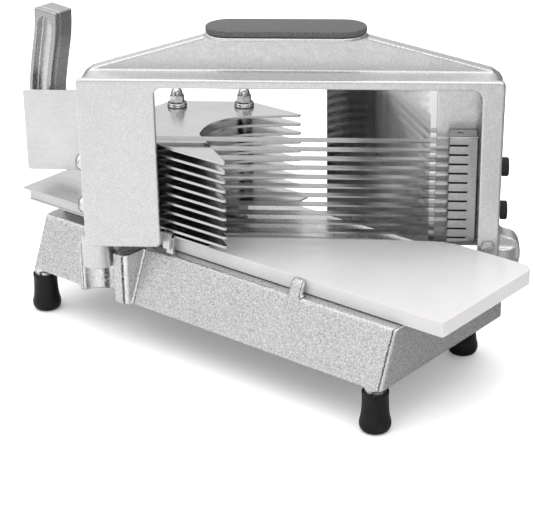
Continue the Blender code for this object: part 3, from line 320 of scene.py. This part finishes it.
def node_shape(node):
    """The node's solid with its triangles merged back into flat faces."""
    bm = welded(node)
    bmesh.ops.dissolve_limit(bm, angle_limit=FLAT, verts=bm.verts, edges=bm.edges)
    return bm


def eased(node, width, finish, segments=3, limit=40.0, clamp=False):
    """The node's shape with its sharp edges rounded."""
    piece = new_piece(f"{node}_eased", node_shape(node), finish)
    ease = piece.modifiers.new("ease", "BEVEL")
    ease.width = width
    ease.segments = segments
    ease.limit_method = "ANGLE"
    ease.angle_limit = radians(limit)
    ease.use_clamp_overlap = clamp
    ease.harden_normals = True
    place(piece, node)


def freeze(piece):
    """Works the piece's modifiers into its mesh."""
    bpy.context.view_layer.update()
    evaluated = piece.evaluated_get(bpy.context.evaluated_depsgraph_get())
    mesh = bpy.data.meshes.new_from_object(evaluated)
    piece.modifiers.clear()
    piece.data = mesh


def turned(profile, steps, matrix):
    """A profile of (radius, height) points spun about Z, then moved by the matrix."""
    bm = bmesh.new()
    line = [bm.verts.new((radius, 0.0, height)) for radius, height in profile]
    edges = [bm.edges.new(pair) for pair in zip(line, line[1:])]
    bmesh.ops.spin(
        bm, geom=line + edges, cent=(0, 0, 0), axis=(0, 0, 1), angle=2 * pi, steps=steps, use_merge=True
    )
    bmesh.ops.remove_doubles(bm, verts=bm.verts, dist=0.001 * MM)
    bmesh.ops.transform(bm, matrix=matrix, verts=bm.verts)
    return bm


def polar(rings, steps, matrix):
    """A closed shape from (height, radius) rings about Z, capped at both ends, then moved by the matrix.

    A ring's radius is a number, or a function of the angle.
    """
    bm = bmesh.new()
    rows = []
    for height, radius_at in rings:
        row = []
        for i in range(steps):
            angle = 2 * pi * i / steps
            radius = radius_at(angle) if callable(radius_at) else radius_at
            row.append(bm.verts.new(matrix @ Vector((radius * cos(angle), radius * sin(angle), height))))
        rows.append(row)
    for lower, upper in zip(rows, rows[1:]):
        for i in range(steps):
            j = (i + 1) % steps
            bm.faces.new((lower[i], lower[j], upper[j], upper[i]))
    bm.faces.new(rows[0][::-1])
    bm.faces.new(rows[-1])
    return bm


SIXTH_TURN = pi / 3
ROUND_STEPS = 72         # points round a nut or a screw's head


def hexagon(corner_radius, limit=None):
    """The radius of a hexagon at an angle, with its corners cut off at the limit."""
    flat = corner_radius * cos(SIXTH_TURN / 2)

    def radius_at(angle):
        radius = flat / cos(angle % SIXTH_TURN - SIXTH_TURN / 2)
        return min(radius, limit) if limit else radius

    return radius_at


# the turned-off corners of a hexagon's end: how far below the end, and the share of the radius that is left
CHAMFER = ((0.0, 0.90), (0.15 * MM, 0.925), (0.35 * MM, 0.955), (0.6 * MM, 0.985), (0.8 * MM, 1.0))


def hex_rings(low, high, radius):
    """A hexagonal nut or bolt head with the corners of its upper end turned off."""
    chamfer = [(high - depth, hexagon(radius, share * radius)) for depth, share in reversed(CHAMFER)]
    return [(low, hexagon(radius))] + chamfer


def dome_rings(low, radius, height, steps=10):
    """A quarter ellipse of rings, closed by a tiny flat at the top."""
    quarter = [pi / 2 * i / steps for i in range(steps)]
    return [(low + height * sin(a), radius * cos(a)) for a in quarter] + [(low + height, 0.02 * radius)]


# ---- castings ----------------------------------------------------------------------------------------
MOULD_DEPTH = 0.10 * MM


def casting(node, voxel, finish, sand):
    """The node's solid as a casting: every edge softened, the surface slightly uneven from its mould."""
    piece = new_piece(f"{node}_cast", welded(node), finish, 180.0)
    remesh = piece.modifiers.new("remesh", "REMESH")
    remesh.mode = "VOXEL"
    remesh.voxel_size = voxel
    remesh.use_smooth_shade = True
    soften = piece.modifiers.new("soften", "SMOOTH")
    soften.factor = 0.5
    soften.iterations = 3

    mould = bpy.data.textures.new(f"{node}_mould", "CLOUDS")
    mould.noise_scale = sand
    mould.noise_depth = 1
    uneven = piece.modifiers.new("uneven", "DISPLACE")
    uneven.texture = mould
    uneven.texture_coords = "LOCAL"
    uneven.strength = MOULD_DEPTH
    uneven.mid_level = 0.5
    freeze(piece)
    place(piece, node)


# the lighter bottom of the handle's channel: where it begins and ends, behind the handle's front
CHANNEL_TONE = 0.24
CHANNEL_RISE, CHANNEL_FALL = (3.6 * MM, 4.8 * MM), (5.4 * MM, 5.8 * MM)


def handle_finish():
    """A cast handle, lighter in the bottom of its channel."""
    s = cast_metal("handle_casting", tone=0.44, pebble=1.0 * MM, depth=0.06 * MM, grain=0.04, rough=0.26)
    behind = s.node("ShaderNodeSeparateXYZ", Vector=s.place).outputs["Y"]
    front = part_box("pusher_handle")[0].y
    rise = [front + step for step in CHANNEL_RISE]
    fall = [front + step for step in CHANNEL_FALL]
    colour = s.surface.inputs["Base Color"].links[0].from_socket
    lifted = s.node("ShaderNodeMix", {"data_type": "RGBA", "blend_type": "ADD"}, Factor=1.0)
    s.feed(lifted.inputs[6], colour)
    s.feed(lifted.inputs[7], s.grey(s.band(behind, CHANNEL_TONE, rise, fall)))
    return s.finish(Base_Color=lifted.outputs[2])


def make_castings():
    coarse = cast_metal(
        "pebbled_casting", tone=0.65, pebble=1.15 * MM, depth=0.24 * MM, grain=0.17, painted_corner=True
    )
    fine = cast_metal("fine_casting", tone=0.70, pebble=0.75 * MM, depth=0.06 * MM, grain=0.08)
    casting("base_casting", 0.9 * MM, coarse.material, sand=3.0 * MM)
    casting("blade_frame", 0.8 * MM, fine.material, sand=2.0 * MM)
    casting("pusher_handle", 0.5 * MM, handle_finish(), sand=2.0 * MM)


# ---- rubber and plastic ------------------------------------------------------------------------------
# a boot's profile in shares of its widest radius and of its height: the socket, the outside, the sole
BOOT = (
    (0.0, 0.82), (0.725, 0.82), (0.725, 0.985),
    (0.80, 1.000), (0.83, 0.992), (0.85, 0.975), (0.85, 0.940), (0.83, 0.925), (0.835, 0.70), (0.86, 0.50),
    (0.92, 0.34), (0.985, 0.25), (1.0, 0.205), (1.0, 0.165), (0.985, 0.12), (0.93, 0.068), (0.85, 0.030),
    (0.74, 0.006), (0.62, 0.0), (0.40, 0.0), (0.37, 0.012), (0.0, 0.012),
)


def make_feet():
    finish = rubber("boot_rubber")
    for node in nodes_named("rubber_foot_"):
        low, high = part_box(node)
        tall, widest = high.z, (high.x - low.x) / 2
        profile = [(across * widest, up * tall) for across, up in BOOT]
        place(new_piece(f"{node}_boot", turned(profile, 56, upright(node)), finish, 50.0), node)


def make_grip_and_plastic():
    eased("carry_grip", 2.0 * MM, pad_plastic("grip_pad"), segments=4, limit=60.0)
    white = white_plastic("polyethylene")
    eased("cutting_board", 0.25 * MM, white, limit=30.0, clamp=True)
    for node in nodes_named("front_runner") + nodes_named("rear_runner"):
        eased(node, 0.5 * MM, white)


# ---- blades and their holders ------------------------------------------------------------------------
# the ground strip's width, and its cutting edge's share of the blade's thickness
GRIND, EDGE_SHARE = 2.4 * MM, 0.12
EDGE_REACH = 0.01 * MM   # vertices this close to the front are on the cutting edge


def make_blades():
    finish = brushed_steel("blade_steel", 0.44, FRAME_TURN, rough=0.16, streak=0.4)
    for node in nodes_named("blade_0") + nodes_named("blade_1"):
        bm = node_shape(node)
        bmesh.ops.transform(bm, matrix=FRAME_AXES.inverted(), verts=bm.verts)
        low, high = frame_box(node)
        geometry = bm.verts[:] + bm.edges[:] + bm.faces[:]
        bmesh.ops.bisect_plane(bm, geom=geometry, plane_co=(0, low.y + GRIND, 0), plane_no=(0, 1, 0))
        centre = (low.z + high.z) / 2
        for vert in bm.verts:
            if vert.co.y < low.y + EDGE_REACH:
                vert.co.z = centre + (vert.co.z - centre) * EDGE_SHARE
        bmesh.ops.transform(bm, matrix=FRAME_AXES, verts=bm.verts)
        place(new_piece(f"{node}_ground", bm, finish, 4.0), node)


ROD_CHAMFER = 0.4 * MM


def make_holders():
    finish = brushed_steel("holder_steel", 0.40, FRAME_TURN + pi / 2, rough=0.27)
    for side in ("left", "right"):
        eased(f"{side}_blade_holder", 0.35 * MM, finish, segments=2)
        rod = f"{side}_blade_rod"
        low, high = frame_box(rod)
        radius = (high.x - low.x) / 2
        chamfered = radius - ROD_CHAMFER
        profile = [
            (0.0, high.z), (chamfered, high.z), (radius, high.z - ROD_CHAMFER),
            (radius, low.z + ROD_CHAMFER), (chamfered, low.z), (0.0, low.z),
        ]
        centre = FRAME_AXES @ Vector(((low.x + high.x) / 2, (low.y + high.y) / 2, 0.0))
        place(new_piece(f"{rod}_pin", turned(profile, 24, Matrix.Translation(centre)), finish), rod)


# ---- sheet metal -------------------------------------------------------------------------------------
def make_sheets():
    mirror = polished_steel("mirror_sheet", 0.86, rough=0.09)
    guard = brushed_steel("guard_sheet", 0.72, FRAME_TURN, rough=0.30, streak=0.25)
    slide = brushed_steel("slide_sheet", 0.62, 0.0, rough=0.25, streak=0.3)
    clip = brushed_steel("clip_steel", 0.72, 0.0, rough=0.30, streak=0.5)
    eased("rear_guard", 0.25 * MM, mirror, segments=2)
    eased("hand_guard", 0.45 * MM, guard, segments=2)
    eased("slide_plate", 0.30 * MM, slide, segments=2)
    eased("front_guide_clip", 0.4 * MM, clip, clamp=True)
    eased("rear_guide_clip", 0.4 * MM, clip, clamp=True)


def make_fins():
    finish = brushed_steel("fin_steel", 0.62, 0.0, rough=0.20, streak=0.3)
    for node in nodes_named("pusher_fin_"):
        eased(node, 0.35 * MM, finish, segments=2)


# ---- fasteners ---------------------------------------------------------------------------------------
def wide_span(node, axis, share=0.95):
    """Where along a frame axis the node is at its widest, as at its nut or head, and that greatest radius."""
    points = [FRAME_AXES.inverted() @ v.co for v in frame["nodes"][node].data.vertices]
    low, high = frame_box(node)
    centre = (low + high) / 2
    across = [k for k in range(3) if k != axis]

    def reach(point):
        return hypot(*(point[k] - centre[k] for k in across))

    widest = max(reach(p) for p in points)
    along = [p[axis] for p in points if reach(p) > share * widest]
    return min(along), max(along), widest


def facing(node, axis, seat, turn):
    """Axes with local Z pointing out of the seat along the node's centre line."""
    low, high = frame_box(node)
    start = (low + high) / 2
    start[axis] = seat
    return FRAME_AXES @ Matrix.Translation(start) @ turn


def turned_head(node, rings, axes, finish):
    """A nut or a screw's head from rings, in place of the node."""
    place(new_piece(f"{node}_turned", polar(rings, ROUND_STEPS, axes), finish, 28.0), node)


def turned_washer(washer, finish):
    """A washer with a groove round it, which sets off a slightly narrower upper half."""
    low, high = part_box(washer)
    radius, ease, groove = (high.x - low.x) / 2, 0.25 * MM, 0.22 * MM
    upper = 0.96 * radius
    split = low.z + 0.42 * (high.z - low.z)
    rings = [
        (low.z, radius - ease), (low.z + ease, radius), (split - groove, radius), (split, radius - groove),
        (split + groove, upper), (high.z - ease, upper), (high.z, upper - ease),
    ]
    place(new_piece(f"{washer}_turned", polar(rings, 64, upright(washer)), finish, 50.0), washer)


def turned_acorn(nut, finish):
    """A hexagon with a dome on it."""
    low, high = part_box(nut)
    radius = (high.x - low.x) / 2
    shoulder = low.z + 0.47 * (high.z - low.z)
    neck, dome = shoulder + 0.1 * MM, shoulder + 0.3 * MM
    rings = hex_rings(low.z, shoulder, radius) + [(neck, 0.74 * radius)]
    rings += dome_rings(dome, 0.78 * radius, high.z - dome)
    turned_head(nut, rings, upright(nut), finish)


def make_acorn_nuts(finish):
    for side in ("front", "rear"):
        turned_washer(f"stud_washer_{side}", finish)
        turned_acorn(f"acorn_nut_{side}", finish)


def make_dome_nuts(finish):
    """Low domed nuts on the frame's left side, on the ends of the tension studs."""
    for node in nodes_named("dome_nut_"):
        shoulder, seat, radius = wide_span(node, 0)
        reach = seat - frame_box(node)[0].x
        hexagon_height = seat - shoulder
        dome = hexagon_height + 0.1 * MM
        rings = hex_rings(0.0, hexagon_height, radius) + dome_rings(dome, 0.84 * radius, reach - dome)
        turned_head(node, rings, facing(node, 0, seat, Matrix.Rotation(-pi / 2, 4, "Y")), finish)


def make_tension_screws(finish):
    """Knurled cap heads with a hexagonal socket."""
    flutes, points_per_flute, groove = 36, 6, 0.28 * MM
    socket, socket_depth = 3.0 * MM, 2.6 * MM
    for node in nodes_named("tension_screw_"):
        seat, end, radius = wide_span(node, 0)
        end -= seat
        floor = end - socket_depth

        def knurl(angle):
            return radius - groove * abs(sin(flutes * angle / 2))

        rings = [
            (0.0, 0.93 * radius), (0.3 * MM, knurl), (end - 0.9 * MM, knurl),
            (end - 0.6 * MM, 0.955 * radius), (end - 0.15 * MM, 0.90 * radius), (end, 0.84 * radius),
            (end, hexagon(socket)), (floor, hexagon(socket)), (floor, 0.1 * MM),
        ]
        axes = facing(node, 0, seat, Matrix.Rotation(pi / 2, 4, "Y"))
        bm = polar(rings, points_per_flute * flutes, axes)
        place(new_piece(f"{node}_knurled", bm, finish, 30.0), node)


def make_foot_screw(finish):
    """The hexagonal head at the foot of the right column."""
    node = "column_foot_screw"
    front, seat, radius = wide_span(node, 1)
    axes = facing(node, 1, seat, Matrix.Rotation(pi / 2, 4, "X"))
    turned_head(node, hex_rings(0.0, seat - front, radius), axes, finish)


def make_fasteners():
    plating = chrome("chrome_plate")
    steel = brushed_steel("fastener_steel", 0.62, 0.0, rough=0.26, streak=0.5)
    make_acorn_nuts(plating)
    make_dome_nuts(plating)
    make_tension_screws(black_metal("blackened_steel"))
    make_foot_screw(steel)
    for start in ("pusher_stud_", "guard_nut_", "guard_screw_", "handle_bolt", "frame_bolt_"):
        for node in nodes_named(start):
            eased(node, 0.3 * MM, steel, segments=2)


# ---- stage -------------------------------------------------------------------------------------------
AZIMUTH, ELEVATION, ROLL = radians(39.94), radians(23.72), radians(-0.96)
DISTANCE = 1.16625
AIM = Vector((8.32, -0.27, 58.94)) * MM
SENSOR = 36.0
LENS = 3.2575 * SENSOR
CLIP = (0.05, 50.0)

# the sky as metal reflects it, (direction, brightness): from the horizon up, and towards the far right
SKY_BY_HEIGHT = (
    (-0.10, 0.08), (0.04, 0.12), (0.13, 0.80), (0.28, 0.97), (0.60, 0.94), (0.80, 1.35), (1.0, 1.5),
)
SKY_BY_SIDE = ((-1.0, 1.15), (0.30, 1.0), (0.65, 0.50), (1.0, 0.28))
FAR_RIGHT = (0.55, 0.83, 0.0)
FLOOR_REACH, FLOOR_TONE, FLOOR_FILL = 6.0, 0.92, 0.14
# painted shade on the floor as metal sees it: its tone near and towards the far right, and where it fades
FLOOR_SHADE_IN_METAL, FADE_FROM, FADE_TO = (0.64, 0.15), -0.12, 0.24
LAMP_PLACE, LAMP_SIZE, LAMP_POWER = (-0.12, -0.18, 1.5), 2.2, 26.0
SKY_FOR_DIFFUSE, SKY_FOR_CAMERA = 1.05, 1.3


def make_camera():
    """The camera at the rest view's angle, tilted by a small roll."""
    back = Vector((sin(AZIMUTH) * cos(ELEVATION), -cos(AZIMUTH) * cos(ELEVATION), sin(ELEVATION)))
    right = Vector((cos(AZIMUTH), sin(AZIMUTH), 0.0))
    up = back.cross(right)
    rolled_right = cos(ROLL) * right + sin(ROLL) * up
    rolled_up = cos(ROLL) * up - sin(ROLL) * right
    turn = Matrix((rolled_right, rolled_up, back)).transposed()
    camera = bpy.data.cameras.new("camera")
    camera.sensor_width = SENSOR
    camera.lens = LENS
    camera.clip_start, camera.clip_end = CLIP
    made = bpy.data.objects.new("camera", camera)
    made.matrix_world = Matrix.Translation(AIM + back * DISTANCE) @ turn.to_4x4()
    bpy.context.scene.collection.objects.link(made)
    bpy.context.scene.camera = made


def make_floor():
    """A white floor. Seen in the metal it has painted shade, a little darker towards the far right."""
    s = Shader("studio_floor")
    direction = s.node("ShaderNodeVectorMath", {"operation": "DOT_PRODUCT"})
    s.feed(direction.inputs[0], s.place)
    s.feed(direction.inputs[1], FAR_RIGHT)
    # painted shade: darker towards the far right, seen only in reflections
    painted_shade = s.between(direction.outputs["Value"], *FLOOR_SHADE_IN_METAL, FADE_FROM, FADE_TO)
    grain = s.between(s.noise(40.0, 2.0), -0.01, 0.01)
    path = s.node("ShaderNodeLightPath")
    mixed = s.node("ShaderNodeMix", {"data_type": "FLOAT"}, Factor=path.outputs["Is Glossy Ray"])
    s.feed(mixed.inputs[2], FLOOR_TONE)
    s.feed(mixed.inputs[3], s.math("ADD", painted_shade, grain))
    fill = s.math("MULTIPLY", path.outputs["Is Camera Ray"], FLOOR_FILL)
    s.finish(
        Base_Color=s.grey(mixed.outputs[0]), Roughness=0.9, Specular_IOR_Level=0.1,
        Emission_Color=(1.0, 1.0, 1.0, 1.0), Emission_Strength=fill,
    )
    bm = bmesh.new()
    bmesh.ops.create_grid(bm, x_segments=8, y_segments=8, size=FLOOR_REACH)
    floor = new_piece("floor", bm, s.material)


def make_lamp():
    """A large soft lamp overhead that metal does not mirror."""
    lamp = bpy.data.lights.new("overhead", "AREA")
    lamp.shape = "RECTANGLE"
    lamp.size, lamp.size_y = LAMP_SIZE, LAMP_SIZE
    lamp.energy = LAMP_POWER
    made = bpy.data.objects.new("overhead", lamp)
    made.location = LAMP_PLACE
    made.rotation_euler = (-Vector(LAMP_PLACE)).to_track_quat("-Z", "Y").to_euler()
    made.visible_glossy = False
    bpy.context.scene.collection.objects.link(made)


def make_world():
    """White to the camera. In reflections: dark at the horizon, bright above, darker to the far right."""
    world = bpy.data.worlds.new("studio")
    world.use_nodes = True
    bpy.context.scene.world = world
    tree = world.node_tree
    links = tree.links
    direction = tree.nodes.new("ShaderNodeTexCoord").outputs["Generated"]
    split = tree.nodes.new("ShaderNodeSeparateXYZ")
    links.new(direction, split.inputs[0])

    def ramp(value, stops):
        """A grey ramp; the stops' positions are the value itself."""
        low, high = stops[0][0], stops[-1][0]
        scaled = tree.nodes.new("ShaderNodeMapRange")
        links.new(value, scaled.inputs["Value"])
        scaled.inputs["From Min"].default_value = low
        scaled.inputs["From Max"].default_value = high
        made = tree.nodes.new("ShaderNodeValToRGB")
        links.new(scaled.outputs["Result"], made.inputs["Fac"])
        while len(made.color_ramp.elements) < len(stops):
            made.color_ramp.elements.new(0.5)
        for element, (position, grey) in zip(made.color_ramp.elements, stops):
            element.position = (position - low) / (high - low)
            element.color = (grey, grey, grey, 1.0)
        return made.outputs["Color"]

    rise = ramp(split.outputs["Z"], SKY_BY_HEIGHT)
    sideways = tree.nodes.new("ShaderNodeVectorMath")
    sideways.operation = "DOT_PRODUCT"
    links.new(direction, sideways.inputs[0])
    sideways.inputs[1].default_value = FAR_RIGHT
    side = ramp(sideways.outputs["Value"], SKY_BY_SIDE)
    product = tree.nodes.new("ShaderNodeVectorMath")
    product.operation = "MULTIPLY"
    links.new(rise, product.inputs[0])
    links.new(side, product.inputs[1])

    path = tree.nodes.new("ShaderNodeLightPath")
    seen = product.outputs["Vector"]
    for ray, grey in (("Is Diffuse Ray", SKY_FOR_DIFFUSE), ("Is Camera Ray", SKY_FOR_CAMERA)):
        mix = tree.nodes.new("ShaderNodeMix")
        mix.data_type = "RGBA"
        links.new(path.outputs[ray], mix.inputs["Factor"])
        links.new(seen, mix.inputs[6])
        mix.inputs[7].default_value = (grey, grey, grey, 1.0)
        seen = mix.outputs[2]
    links.new(seen, tree.nodes["Background"].inputs["Color"])


def make_stage():
    make_camera()
    make_floor()
    make_lamp()
    make_world()
    bpy.context.scene.view_settings.view_transform = "Standard"


make_castings()
make_feet()
make_grip_and_plastic()
make_blades()
make_holders()
make_sheets()
make_fins()
make_fasteners()
make_stage()
